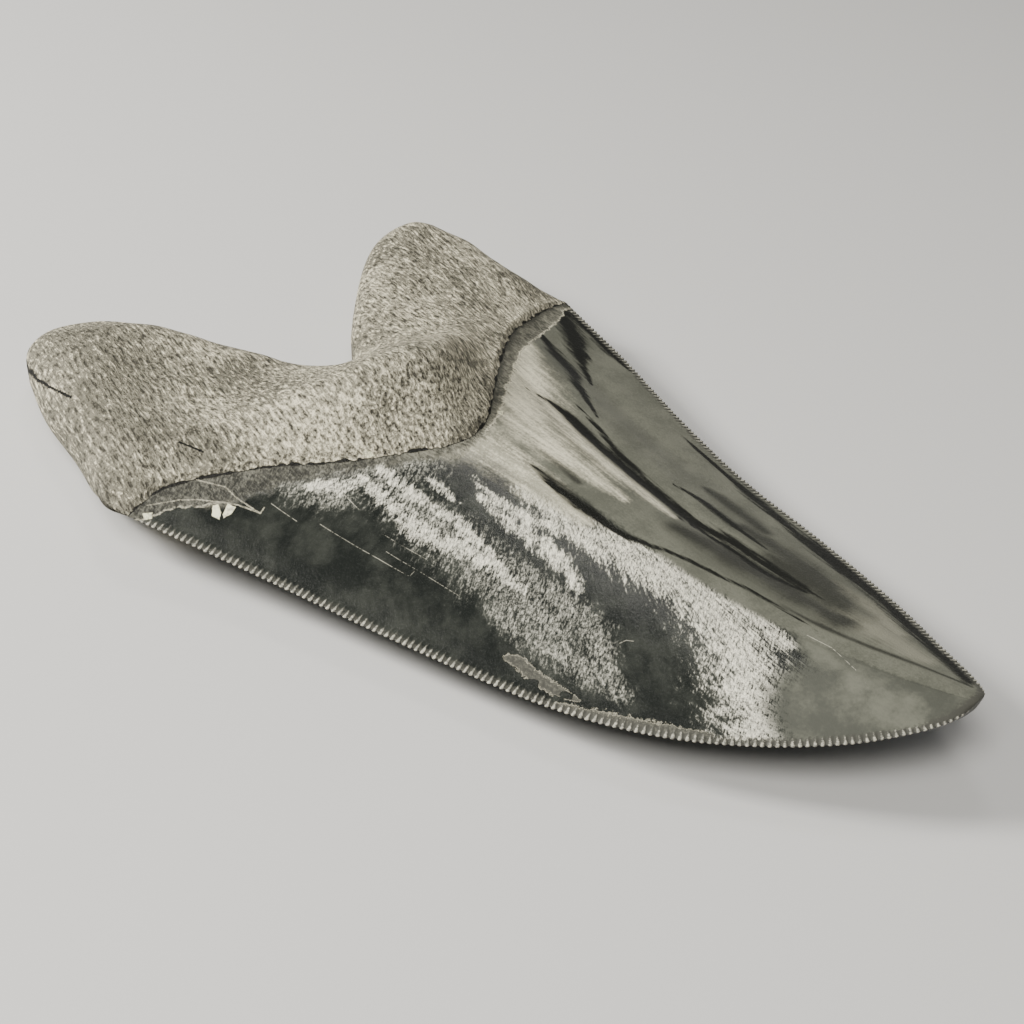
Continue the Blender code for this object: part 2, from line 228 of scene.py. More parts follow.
def root_heights(v, across, point):
    """Quarter-circle rounding in from the rim to a bell-shaped bulge above and a flat face below.

    Sine lumps and a seeded grain lie on the upper face, which blends into the crown over the first
    rows and stands a small step over the collar.
    """
    x, y, rim_z = point[..., 0], point[..., 1], point[..., 2]
    inset = path_distance(x, y, root_rim)[0]
    length = np.where(x < BULGE_AT[0], BULGE_TO_NOTCH, BULGE_TO_CROWN)
    bulge = np.exp(-((x - BULGE_AT[0]) / length) ** 2 - ((y - BULGE_AT[1]) / BULGE_ACROSS) ** 2)
    a, b = x / LUMP_LENGTH, y / LUMP_LENGTH
    lumps = np.sin(3.1 * a + 1.7 * np.sin(2.3 * b)) * np.cos(2.7 * b + 1.3 * np.sin(3.7 * a + 0.8))
    high = ROOT_LOW + ROOT_BULGE * bulge + LUMP_HEIGHT * lumps
    high -= LOBE_END_DROP * smooth_step((LOBE_END_X - x) / LOBE_END_LENGTH)
    top_round = np.sqrt(1 - (1 - np.clip(inset / ROOT_TOP_ROUND, 0, 1)) ** 2)
    lip_round = np.sqrt(1 - (1 - np.clip(inset / ROOT_LIP_ROUND, 0, 1)) ** 2)
    zero = np.zeros_like(v)
    crown_z = crown_point(zero, across)[..., 2]
    blend = smooth_step(v / ROOT_BLEND_END)
    crown_end = crown_z + crown_top(zero, across) - COLLAR_SINK * smooth_step(inset / STEP_INSET)
    top = (1 - blend) * crown_end + blend * (rim_z + (high - rim_z) * top_round)
    step = smooth_step(v / STEP_SHARE) * smooth_step(inset / STEP_INSET)
    top += ROOT_STEP * step * smooth_step((STEP_END - v) / STEP_END)
    grain = sum(depth * lattice_noise(x, y, cell, seed) for cell, depth, seed in ROOT_GRAIN)
    top += grain * smooth_step(v / STEP_SHARE) * smooth_step(inset / GRAIN_INSET)
    low = (1 - blend) * crown_bottom(zero, across, crown_z)
    low += blend * (rim_z - (rim_z - ROOT_LIP_Z) * lip_round)
    return top, np.maximum(low, 0)


def blade_normal(t, edge, outward):
    """Heading along the edge and the level direction out of the tooth, both of length 1."""
    step = 0.5 / (SERRATIONS * FINE_ROWS_EACH)
    heading = (along(edge, np.minimum(t + step, 1)) - along(edge, np.maximum(t - step, 0)))[..., :2]
    heading /= np.linalg.norm(heading, axis=-1)[..., None]
    return heading, np.stack([heading[..., 1], -heading[..., 0]], axis=-1) * outward


rows = SERRATIONS * ROWS_EACH
fine_rows = SERRATIONS * FINE_ROWS_EACH
gap = FINE_ROWS_EACH // ROWS_EACH
row_t = np.arange(rows) / rows
fine_t = np.arange(fine_rows) / fine_rows


def blade_share(t):
    """Share of a row's width that one blade takes: 1.8 mm over the width, at most 0.08."""
    width = np.linalg.norm(along(far_edge, t) - along(near_edge, t), axis=-1)
    return np.minimum(BLADE_WIDTH / np.maximum(width, 1e-6), BLADE_SHARE)


def row_shares(t):
    """Shares across a whole row: the near blade, evenly spaced columns between, and the far blade."""
    blade = blade_share(t)[:, None]
    steps = np.arange(BLADE_COLUMNS) / BLADE_COLUMNS
    inner = blade + (1 - 2 * blade) * np.linspace(0, 1, COLUMNS + 1)
    return np.hstack([blade * steps, inner, 1 - blade * steps[::-1]])


def crown_surface(t, across):
    """Upper and lower points of the crown, each as x, y and z."""
    point = crown_point(t, across)
    upper, lower = point.copy(), point.copy()
    upper[..., 2] += crown_top(t, across)
    edge_share = smooth_step(np.minimum(across, 1 - across) / (2 * BLADE_SHARE))
    sunk = smooth_step(-border_gap(point[..., 0], point[..., 1], collar_line) / COLLAR_STEP_WIDTH)
    upper[..., 2] -= COLLAR_SINK * sunk * edge_share
    lower[..., 2] = crown_bottom(t, across, point[..., 2])
    return upper, lower


def blade_surface(edge, outward):
    """Notches (0.5 + 0.5 cos)^1.5 deep, square to the edge, and between them ribs that narrow inwards."""
    steps = np.arange(BLADE_COLUMNS) / BLADE_COLUMNS
    across = blade_share(fine_t)[:, None] * steps
    if outward < 0:
        across = 1 - across
    t = np.broadcast_to(fine_t[:, None], across.shape)
    upper, lower = crown_surface(t, across)
    heading, normal = blade_normal(fine_t, edge, outward)
    inward = upper[..., :2] - upper[:, :1, :2]
    length = np.linalg.norm(np.diff(edge, axis=0), axis=1).sum()
    foot = t + (inward * heading[:, None]).sum(-1) / length
    fade = smooth_step((1 - t) / SERRATION_FADE) * (0.3 + 0.7 * smooth_step(t / SERRATION_FADE))
    notch = (0.5 + 0.5 * np.cos(2 * np.pi * SERRATIONS * foot)) ** 1.5
    uneven = 0.78 + 0.22 * lattice_noise(SERRATIONS * foot, across, 1.0, 7)
    shift = SERRATION_DEPTH * uneven * notch * fade * (1 - steps) ** 1.2
    rib = (1 - notch) ** (1 + 3 * steps) * np.minimum(fade + 0.25, 1)
    swell = RIB_HEIGHT * uneven * (rib - 0.5) * 1.7 * steps ** 0.5 * (1 - steps)
    for face, sign in ((upper, 1), (lower, -1)):
        face[..., :2] -= shift[..., None] * normal[:, None, :]
        face[..., 2] += sign * swell * (steps > 0)
    lower[..., 2] = np.maximum(lower[..., 2], 0)
    return upper, lower, t, across, rib


def quads(grid):
    """The four corners of each cell of a grid of point numbers."""
    return np.stack([grid[:-1, :-1], grid[1:, :-1], grid[1:, 1:], grid[:-1, 1:]], -1).reshape(-1, 4)


class Points:
    """Points of the tooth with the values that the material reads, numbered as they are added."""

    def __init__(self):
        self.place, self.grown, self.count = [], [], 0

    def add(self, place, t, across, side, rib=0):
        shape = place.shape[:-1]
        self.place.append(place.reshape(-1, 3))
        values = [np.broadcast_to(value, shape).ravel() for value in (t, across, side, rib)]
        self.grown.append(np.stack(values, axis=-1))
        first, self.count = self.count, self.count + int(np.prod(shape))
        return np.arange(first, self.count).reshape(shape)


points, quad_faces, tri_faces = Points(), [], []
blades = [blade_surface(near_edge, 1), blade_surface(far_edge, -1)]
rims = [points.add(upper[:, 0], t[:, 0], across[:, 0], 1, rib[:, 0])
        for upper, lower, t, across, rib in blades]
tip = points.add(np.array([NEAR_EDGE[-1]], float), 1, 0.5, 1)[0]

s = np.arange(ROOT_ROWS) / ROOT_ROWS
root_v = 1 - (0.55 * s + 0.225 * (1 - np.cos(np.pi * s)))
root_across = np.broadcast_to(row_shares(np.zeros(1)), (ROOT_ROWS, COLUMNS + 1 + 2 * BLADE_COLUMNS))
root_grid_v = np.broadcast_to(root_v[:, None], root_across.shape)
root_place = root_point(root_grid_v, root_across)
root_top, root_low = root_heights(root_grid_v, root_across, root_place)
root_side = np.zeros((ROOT_ROWS, 2), int)
root_end_row = points.add(root_place[0], -1, root_across[0], 1)
root_side[1:] = points.add(root_place[1:, [0, -1]], -root_grid_v[1:, [0, -1]], root_across[1:, [0, -1]], 1)

for face_index, side in ((0, 1), (1, 0)):
    inner_across = row_shares(row_t)[:, BLADE_COLUMNS:-BLADE_COLUMNS]
    inner_t = np.broadcast_to(row_t[:, None], inner_across.shape)
    inner = points.add(crown_surface(inner_t, inner_across)[face_index], inner_t, inner_across, side)
    strips = []
    for blade, rim in zip(blades, rims):
        body = points.add(blade[face_index][:, 1:], blade[2][:, 1:], blade[3][:, 1:], side, blade[4][:, 1:])
        strips.append(np.hstack([rim[:, None], body]))
    near_strip, far_strip = strips[0], strips[1][:, ::-1]

    root_z = (root_top, root_low)[face_index]
    place = root_place[1:, 1:-1].copy()
    place[..., 2] = root_z[1:, 1:-1]
    body = points.add(place, -root_grid_v[1:, 1:-1], root_across[1:, 1:-1], side)
    root_rows = np.vstack([root_end_row, np.hstack([root_side[1:, :1], body, root_side[1:, 1:]])])
    first_crown_row = np.hstack([near_strip[0], inner[0], far_strip[0]])

    grids = [np.vstack([root_rows, first_crown_row]), inner, near_strip, far_strip]
    turned = [quads(grid) for grid in grids]
    hubs = np.append(inner[1:, 0], tip), np.append(inner[1:, -1], tip)
    walls = near_strip[:, -1], far_strip[:, 0]
    triangles = [
        np.stack([walls[0][::gap], hubs[0], inner[:, 0]], -1),
        np.stack([inner[:, -1], hubs[1], walls[1][::gap]], -1),
    ]
    for step in range(gap):
        count = rows - 1 if step == gap - 1 else rows
        a = np.arange(count) * gap + step
        triangles.append(np.stack([walls[0][a], walls[0][a + 1], hubs[0][:count]], -1))
        triangles.append(np.stack([hubs[1][:count], walls[1][a + 1], walls[1][a]], -1))
    for last in (near_strip[-1], inner[-1], far_strip[-1]):
        triangles.append(np.stack([last[:-1], np.full(len(last) - 1, tip), last[1:]], -1))
    turned, triangles = np.vstack(turned), np.vstack(triangles)
    quad_faces.append(turned if side else turned[:, ::-1])
    tri_faces.append(triangles if side else triangles[:, ::-1])

place = np.vstack(points.place)
grown_t, grown_across, upper_side, rib_share = np.vstack(points.grown).T
plan_x, plan_y = place[:, 0].copy(), place[:, 1].copy()
node_low, node_high = (np.array(corner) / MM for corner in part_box(NODE))
shift = ((node_low + node_high) / 2 - (place.min(0) + place.max(0)) / 2)[:2]
place[:, :2] += shift
place = np.clip(place, node_low, node_high) * MM

mesh = bpy.data.meshes.new("fossil_tooth")
faces = np.vstack(quad_faces).tolist() + np.vstack(tri_faces).tolist()
mesh.from_pydata(place.tolist(), [], faces)
mesh.shade_smooth()
tooth = bpy.data.objects.new("fossil_tooth", mesh)
bpy.context.scene.collection.objects.link(tooth)

# The tooth's markings and painted light: the enamel's grey bands, a silver band of painted sheen,
# glow strokes of painted highlight, shade strokes of painted shade, the collar, chips, scratches and
# cracks. Strokes and border lines are kept on the skin as values that fall evenly with
# distance; thin lines and chips are measured in the material. All paths are placed one by one.
#
# A stroke is its path in plan, (x, y) in mm, and its half widths, spread evenly along it.
DARK_STROKES = [
    ([(32.5, -3.4), (39, -4.4), (45, -5.2), (51, -5.5), (58, -3.4), (64.5, -2.4), (71, -1.8), (80, -2.4)],
     [0.2, 1.1, 1.4, 1.1, 0.6, 0.5, 0.5, 0.4, 0.2]),
    ([(17.8, 12.9), (23.7, 14.2), (31.2, 12.1), (38.6, 10.1), (45, 8.9), (53.7, 7.5), (59, 8.1),
      (69, 6.6), (76, 5.5)],
     [0.3, 0.8, 1.7, 2.1, 2.0, 1.8, 1.7, 1.2, 0.8, 0.2]),
    ([(22, 18.5), (30, 15.5), (37, 12.5), (44, 11)], [0.2, 0.5, 0.8, 0.1]),
    ([(52, 5.6), (60, 6.2), (67, 5), (74, 5.4)], [0.2, 0.8, 1.0, 0.1]),
    ([(6.7, 30.8), (12, 28.4), (16, 26.6), (22, 22), (28.3, 17.8)], [0.7, 1.5, 1.7, 0.9, 0.3]),
    ([(45.7, 13.2), (51.4, 13.4), (57.5, 11.8), (64, 10.5)], [0.2, 1.2, 1.1, 0.1]),
    ([(3, 43.4), (8, 41.6), (13, 39.6), (20, 37.8)], [1.8, 1.9, 1.4, 0.3]),
    ([(1, 43), (6, 39), (11, 34.5), (15, 31), (20, 27)], [2.5, 3.0, 2.2, 1.2, 0.3]),
    ([(35, 29.2), (45, 26.2), (51, 24.2), (63, 20), (77, 15.2), (90, 8.6), (98, 4)],
     [0.3, 0.9, 1.4, 1.6, 2.2, 2.0, 1.2]),
]
# Painted shade: darker patches on the far half's olive grey, and a darker near lobe on the root.
SHADE_STROKES = [
    ([(66, 8.5), (72, 8.5), (78, 6.5)], [3.0, 5.5, 4.0]),
    ([(54, 2.4), (62, 3.0), (70, 3.6), (80, 2.6)], [1.6, 3.4, 4.0, 2.6]),
    ([(58, 13), (66, 12), (74, 10)], [1.6, 3.0, 3.0]),
    ([(26, 4.5), (33, 1), (40, -1.2)], [0.5, 1.2, 0.6]),
    ([(27, 9.5), (33, 6.8), (40, 4.8)], [0.4, 1.0, 0.4]),
    ([(48, 18), (54, 17), (60, 15.5)], [0.8, 1.8, 1.2]),
    ([(72, -1.6), (80, -1.0), (86, 0.0), (92, 1.4), (99, 3)], [0.3, 0.4, 0.4, 0.35, 0.2]),
    ([(-1, -32), (-8, -33), (-15, -33.5), (-24, -31)], [3.0, 5.0, 5.0, 4.0]),
    ([(-36, -22), (-29, -24), (-20, -26)], [7, 8, 5]),
    ([(4, -38), (-2, -42), (-10, -41)], [3, 4, 3]),
]
# Painted sheen: the silver band across the near half is a painted reflection of light.
PAINTED_SHEEN_STROKES = [
    ([(52, -9.2), (60.5, -8.4), (67, -8.8), (73.2, -11), (78.2, -14.8), (81.7, -18),
      (83.6, -20.2), (84.4, -22.4)],
     [2.4, 3.0, 3.6, 4.4, 4.6, 4.3, 4.1, 4.0]),
    ([(36, -8.6), (42, -8.6), (50, -8.2), (60, -6.8), (72, -6.2), (79, -7.6)],
     [1.0, 1.6, 2.2, 2.0, 1.7, 1.2]),
    ([(46, -5.9), (54, -6.0), (60, -4.8), (66, -4)], [0.2, 0.7, 0.8, 0.2]),
    ([(30, -11.4), (35, -12.1), (40.4, -11.8), (44.8, -10.5), (51.3, -10.2)], [0.5, 0.7, 1.1, 1.2, 1.2]),
    ([(32.6, -13.1), (36.2, -13.6), (39.7, -14.2), (43.6, -13.9), (48.3, -14.6), (53.5, -16.7)],
     [0.4, 0.7, 1.0, 1.4, 1.4, 0.8]),
    ([(26.2, -15.4), (29.3, -15.7), (32.2, -15.9)], [0.6, 0.6, 0.3]),
    ([(20.2, -18.5), (25.6, -18.7), (30.4, -18.4), (33.4, -18.0), (37.6, -18.8), (40.4, -19.0)],
     [1.1, 1.0, 0.8, 1.0, 0.9, 0.6]),
    ([(18.8, -21.3), (22.5, -21.2), (26.3, -21.4), (32.7, -21.8), (36.3, -21.0), (41.1, -20.2),
      (47.6, -20.9)],
     [0.8, 1.0, 1.5, 1.9, 1.6, 1.5, 0.8]),
    ([(14.9, -26.2), (16.2, -24.8), (18.4, -23.4)], [1.0, 1.5, 1.2]),
]
# Painted highlights: glow patches that lift the near half's streaks, a painted sheen on the far half by the
# tip, and a highlight on the root's bulge by the root line.
PAINTED_GLOW_STROKES = [
    ([(22, -20.5), (32, -20.5), (42, -21), (50, -22), (56, -23.5)], [2.5, 4, 4.5, 4.5, 3]),
    ([(47, -25.4), (55, -25.4), (62, -25), (68, -25)], [1.2, 2.4, 2.2, 1.4]),
    ([(13.5, -27.5), (17, -25.6), (20, -25)], [2.2, 2.6, 1.2]),
    ([(46, -18.5), (52.5, -19.3), (60, -21), (65, -24)], [1.5, 2.4, 2.4, 1.4]),
    ([(80, 4.6), (86, 4.6), (92, 3.6)], [4.2, 3.4, 1.6]),
    ([(74, 11.5), (80, 9.8), (86, 7.0)], [1.4, 2.2, 1.6]),
    ([(21, -14.5), (17, -19.5), (10, -22.5), (2, -24)], [6.0, 6.5, 6.5, 4.0]),
]
CREAM_STROKES = [
    ([(8, 24.5), (13, 19.5), (19, 12.5), (24, 6), (30, 3.2), (38, 2.2), (46, 1.4)],
     [1.8, 3.8, 4.8, 4.8, 3.4, 2.0, 0.8]),
    ([(24, -8.5), (27, -6.0), (32, -5.6), (38, -6.2), (46, -7)], [3.6, 4.0, 3.0, 2.4, 1.2]),
    ([(22, 13), (32, 8.5), (43, 6.4), (52, 4.8)], [1.6, 2.2, 1.8, 0.6]),
]
TIP_STROKES = [
    ([(88, -12), (92, -8), (98, -3)], [7.6, 9.5, 9]),
    ([(79.5, -3.2), (84, -4.8), (90, -5)], [2.8, 4.8, 6]),
]
CRACKS = [
    [(-45.6, -26.2), (-40.2, -29.4), (-35.1, -31.5), (-31, -32.8), (-27.7, -33.3), (-25.1, -33.7)],
    [(-4.2, -32.2), (-2.4, -31.9), (-0.2, -31.5)],
]
# Pale scratches, and near the tip one painted glint along a crack, all drawn in silver.
SCRATCHES_AND_GLINT = [
    [(19.7, -29.1), (27.3, -28.4), (34.3, -27.7)], [(29.5, -26.8), (35.2, -26.4), (41.7, -26.1)],
    [(12.5, -31), (17, -30.7)], [(18, -24.1), (22.2, -24.5)], [(27.3, -25.2), (34.3, -24.6)],
    [(79.5, -4.2), (83, -4), (87.5, -5.4)], [(57.3, -18.9), (57.5, -18.3), (58.2, -18.3)],
    [(62.6, -19.8), (63, -19), (63.8, -18.6)], [(34.5, -27.7), (34.5, -26.8)],
    [(56.6, -23.6), (58, -24.4), (59.2, -25.6)], [(57.2, -23.4), (58.6, -24.4)],
]
PALE_LINES = [
    [(2.1, -34.8), (5.9, -33.1), (8.7, -33.3), (12.4, -32.9), (12.2, -32)],
    [(0.5, -41.9), (2.8, -38.4), (4.7, -36.6), (7.6, -34.8), (9.3, -33.9), (12.4, -32.9)],
]
FLAKES = [
    ([(52.6, -29.2), (54.6, -28.9), (57.4, -29.3), (60.3, -29.2), (63.9, -28.8)], [0.5, 0.9, 0.9, 0.9, 0.3]),
    ([(62.5, -31), (66, -30), (70, -28.5), (75, -26), (79.6, -23)], [0.8, 1.3, 1.4, 1.2, 0.3]),
]
FLAKE_HOLES = [[(57.2, -30.3), (58, -29.9)], [(61.8, -29.1), (62.6, -28.9)]]
CHIPS = [
    [(6.8, -36.1), (7.2, -35.5), (8.4, -36.1), (9.1, -37.0), (7.9, -37.3)],
    [(8.0, -34.6), (9.3, -34.3), (9.6, -35.4), (9.3, -36.5), (8.8, -36.2)],
    [(1.1, -43.3), (1.9, -42.2), (2.7, -43.0), (2.1, -43.8)],
    [(16.6, -18.6), (17.0, -17.9), (18.1, -17.5), (17.7, -18.4)],
    [(22.4, 2.2), (22.9, 3.0), (23.6, 2.0), (23.0, 1.6)],
]


def stroke_value(strokes):
    """Largest over the strokes of 1 - distance / half width, kept above -2; the width varies along each."""
    value = np.full(len(plan_x), -2.0)
    for path, widths in strokes:
        curve = smooth_curve(path)[::8]
        gap_to, place_on = path_distance(plan_x, plan_y, curve)
        width = np.interp(place_on, np.linspace(0, 1, len(widths)), widths)
        value = np.maximum(value, 1 - gap_to / width)
    return np.where(upper_side > 0.5, value, -2)


lip_gap = plan_x - LIP_LINE_ARCH * (1 - (plan_y / FAR_EDGE[0][1]) ** 2)
root_gap = np.where(upper_side > 0.5, border_gap(plan_x, plan_y, root_line), lip_gap)
collar_gap = np.where(upper_side > 0.5, border_gap(plan_x, plan_y, collar_line), lip_gap)
edge_gap = np.minimum(*(path_distance(plan_x, plan_y, edge[::10])[0] for edge in (near_edge, far_edge)))
crown_t, from_crest = np.clip(grown_t, 0, 1), crest_share(grown_across)
outward = -90 * near_flow(crown_t, grown_across)
near_line = np.stack([outward, 100 * crown_t - 30 * from_crest, upper_side * 50])
far_line = np.stack([40 * from_crest, 100 * crown_t, upper_side * 50])
for name, values in (
    ("borders", (root_gap, collar_gap, from_crest * 20)),
    ("bands", (stroke_value(DARK_STROKES), stroke_value(PAINTED_SHEEN_STROKES), stroke_value(CREAM_STROKES))),
    ("shades", (stroke_value(SHADE_STROKES), stroke_value(PAINTED_GLOW_STROKES), stroke_value(TIP_STROKES))),
    ("sides", (stroke_value(FLAKES), upper_side, 0 * upper_side)),
    ("blades", (edge_gap, rib_share, crown_t)),
    ("near_line", near_line),
    ("far_line", far_line),
):
    layer = mesh.attributes.new(name, "FLOAT_VECTOR", "POINT")
    layer.data.foreach_set("vector", np.stack(values, axis=-1).astype(np.float32).ravel())

# The tooth's surface: glossy mineral enamel in charcoal, olive grey and silver, where the silver
# band is a painted sheen and the far half's lighter olive grey is partly a painted reflection of the
# room; a matt collar, and a porous root with pale flecks. One material draws them, parted by the
# border values.
CHARCOAL = (0.009, 0.0108, 0.0095, 1)
CHARCOAL_SOFT = (0.032, 0.035, 0.030, 1)
# STEEL and SILVER are the mid and full tones of the painted sheen; SILVER also colours the scratches.
STEEL = (0.19, 0.192, 0.17, 1)
SILVER = (0.98, 0.945, 0.79, 1)
DARK_OLIVE = (0.006, 0.0065, 0.005, 1)
OLIVE_GREY = (0.088, 0.091, 0.073, 1)
OLIVE_PALE = (0.130, 0.133, 0.107, 1)
OLIVE_SHEEN = (0.19, 0.188, 0.148, 1)
OLIVE_SHADE = (0.030, 0.031, 0.025, 1)
TIP_OLIVE = (0.062, 0.065, 0.054, 1)
CREAM = (0.68, 0.645, 0.50, 1)
CREAM_DULL = (0.36, 0.348, 0.272, 1)
COLLAR_BROWN = (0.22, 0.214, 0.170, 1)
COLLAR_DARK = (0.055, 0.055, 0.044, 1)
COLLAR_DUSK = (0.028, 0.028, 0.023, 1)
COLLAR_GREY = (0.155, 0.152, 0.124, 1)
CHIP_WHITE = (0.90, 0.88, 0.62, 1)
FLAKE_GREY = (0.046, 0.046, 0.039, 1)
# Painted highlight on the serrations' ribs, and painted shade in their notches.
RIB_HIGHLIGHT = (0.46, 0.445, 0.37, 1)
NOTCH_SHADE = (0.055, 0.055, 0.047, 1)
ROOT_MID = (0.33, 0.310, 0.238, 1)
ROOT_DARK = (0.17, 0.161, 0.124, 1)
ROOT_PIT = (0.050, 0.047, 0.036, 1)
ROOT_PALE = (0.84, 0.775, 0.585, 1)
# Black of the root's cracks, and of the painted shade in the crevice at the root line.
CRACK_AND_SHADE_BLACK = (0.003, 0.003, 0.002, 1)
ENAMEL_IOR, ENAMEL_GLOSS = 1.55, 0.22
PAINTED_SHEEN_GLOW, PAINTED_GLOW_LEVEL, SILVER_METAL = 0.82, 0.37, 0.25
SILVER_ROUGH, FAR_ROUGH, FLAKE_ROUGH, COLLAR_ROUGH, ROOT_ROUGH = 0.28, 0.47, 0.5, 0.55, 0.74
FUR_TURN, FIBRE_TURN = math.radians(-117), math.radians(20)
FAR_AWAY = 9.0

material = bpy.data.materials.new("fossil_tooth")
material.use_nodes = True
tree = material.node_tree
shader = tree.nodes["Principled BSDF"]


def fill_node(owner, kind, inputs, settings):
    """A new node in a tree, with its inputs linked or set, given as pairs of socket and value."""
    node = owner.nodes.new(kind)
    for name, value in settings.items():
        setattr(node, name, value)
    for socket, value in inputs:
        if isinstance(value, bpy.types.NodeSocket):
            owner.links.new(value, node.inputs[socket])
        else:
            node.inputs[socket].default_value = value
    return node


def tooth_node(kind, *inputs, **settings):
    """A node in the tooth's material."""
    return fill_node(tree, kind, inputs, settings)


def values_of(name):
    """The three values of one of the tooth's attributes."""
    source = tooth_node("ShaderNodeAttribute", attribute_name=name)
    return tooth_node("ShaderNodeSeparateXYZ", (0, source.outputs["Vector"])).outputs


def vector_of(name):
    """One of the tooth's attributes as a place for noise."""
    return tooth_node("ShaderNodeAttribute", attribute_name=name).outputs["Vector"]


def noise(vector, scale, detail=3.0, rough=0.55):
    """Noise on a vector that is first scaled on each axis, spread about 0 and mostly from -1 to 1."""
    scaled = tooth_node("ShaderNodeMapping", (0, vector), (3, scale))
    source = tooth_node("ShaderNodeTexNoise", ("Vector", scaled.outputs[0]), ("Scale", 1.0),
                        ("Detail", detail), ("Roughness", rough))
    return product(calc("SUBTRACT", source.outputs["Fac"], 0.5), 6.0)


def calc(operation, a, b, c=0.0):
    """One operation on two or three values."""
    return tooth_node("ShaderNodeMath", (0, a), (1, b), (2, c), operation=operation).outputs[0]


def product(first, second):
    """Product of two values."""
    return calc("MULTIPLY", first, second)


def rest(mask):
    """1 where the mask is 0, and 0 where it is 1."""
    return calc("SUBTRACT", 1.0, mask)


def total(*terms):
    """Sum of terms, each a value or a pair of value and factor."""
    result = 0.0
    for term in terms:
        value, factor = term if isinstance(term, tuple) else (term, 1.0)
        result = calc("MULTIPLY_ADD", value, factor, result)
    return result


def ramp(value, low, high, out_low=0.0, out_high=1.0):
    """Smooth step from out_low to out_high as the value goes from low to high."""
    node = tooth_node("ShaderNodeMapRange", ("Value", value), ("From Min", low), ("From Max", high),
                      ("To Min", out_low), ("To Max", out_high), interpolation_type="SMOOTHSTEP")
    return node.outputs["Result"]


def mix(mask, first, second):
    """The second colour where the mask is 1, the first where it is 0."""
    return tooth_node("ShaderNodeMix", ("Factor", mask), (6, first), (7, second), data_type="RGBA").outputs[2]


def mix_value(mask, first, second):
    """The second value where the mask is 1, the first where it is 0."""
    return tooth_node("ShaderNodeMix", (0, mask), (2, first), (3, second), data_type="FLOAT").outputs[0]


segment_gap = bpy.data.node_groups.new("segment_gap", "ShaderNodeTree")
for label in ("Place", "Start", "End"):
    segment_gap.interface.new_socket(label, in_out="INPUT", socket_type="NodeSocketVector")
segment_gap.interface.new_socket("Gap", in_out="OUTPUT", socket_type="NodeSocketFloat")


def group_node(kind, *inputs, **settings):
    """A node in the group that measures how far a place is from a straight piece of a line."""
    return fill_node(segment_gap, kind, inputs, settings)


def group_vector(operation, *inputs):
    """One operation on vectors in that group, with all that it puts out."""
    return group_node("ShaderNodeVectorMath", *inputs, operation=operation).outputs


ends = group_node("NodeGroupInput").outputs
span = group_vector("SUBTRACT", (0, ends["End"]), (1, ends["Start"]))[0]
reach = group_vector("SUBTRACT", (0, ends["Place"]), (1, ends["Start"]))[0]
part_way = group_vector("DOT_PRODUCT", (0, reach), (1, span))["Value"]
whole = group_vector("DOT_PRODUCT", (0, span), (1, span))["Value"]
part_way = group_node("ShaderNodeMath", (0, part_way), (1, whole),
                      operation="DIVIDE", use_clamp=True).outputs[0]
foot = group_vector("SCALE", (0, span), ("Scale", part_way))[0]
off = group_vector("DISTANCE", (0, reach), (1, foot))["Value"]
group_node("NodeGroupOutput", ("Gap", off))


def gap_to(lines):
    """Distance in mm to the nearest of some lines, each given as its corners, measured in plan."""
    nearest = FAR_AWAY
    for line in lines:
        for start, end in zip(line, line[1:]):
            piece = tooth_node("ShaderNodeGroup", node_tree=segment_gap)
            tree.links.new(flat_place, piece.inputs["Place"])
            piece.inputs["Start"].default_value = (*start, 0)
            piece.inputs["End"].default_value = (*end, 0)
            nearest = calc("MINIMUM", nearest, piece.outputs["Gap"])
    return nearest


def outside(corners):
    """Largest of the signed distances in plan past a convex shape's sides, its corners given clockwise."""
    farthest = -FAR_AWAY
    for start, end in zip(corners, corners[1:] + corners[:1]):
        length = math.dist(start, end)
        out = ((start[1] - end[1]) / length, (end[0] - start[0]) / length, 0)
        reach = tooth_node("ShaderNodeVectorMath", (0, flat_place), (1, out), operation="DOT_PRODUCT")
        side_reach = out[0] * start[0] + out[1] * start[1]
        farthest = calc("MAXIMUM", farthest, calc("SUBTRACT", reach.outputs["Value"], side_reach))
    return farthest


root_line_gap, collar_line_gap, crest_side = values_of("borders")
dark_value, painted_sheen_value, cream_value = values_of("bands")
shade_value, painted_glow_value, tip_value = values_of("shades")
flake_value, upper = values_of("sides")[:2]
blade_gap, rib, length_share = values_of("blades")
near_place, far_place = vector_of("near_line"), vector_of("far_line")
place_in_mm = tooth_node("ShaderNodeMapping", (0, tooth_node("ShaderNodeTexCoord").outputs["Object"]),
                         (3, (1000, 1000, 1000))).outputs[0]
flat_place = tooth_node("ShaderNodeMapping", (0, place_in_mm), (1, (-shift[0], -shift[1], 0)),
                        (3, (1, 1, 0))).outputs[0]

# Noise along the lines of growth on each half, and in the tooth as a whole
near_streak = noise(near_place, (0.45, 0.09, 1), 3.0, 0.6)
near_feather = noise(near_place, (1.5, 0.28, 1), 3.0, 0.6)
near_fleck = noise(near_place, (3.2, 1.2, 1), 3.0, 0.65)
far_feather = noise(far_place, (1.1, 0.10, 1), 4.0, 0.65)
cloud = noise(place_in_mm, (0.16, 0.16, 0.16), 4.0, 0.6)
speck = noise(place_in_mm, (2.4, 2.4, 2.4), 3.0, 0.65)
spark = noise(place_in_mm, (5.0, 5.0, 5.0), 1.0, 0.6)

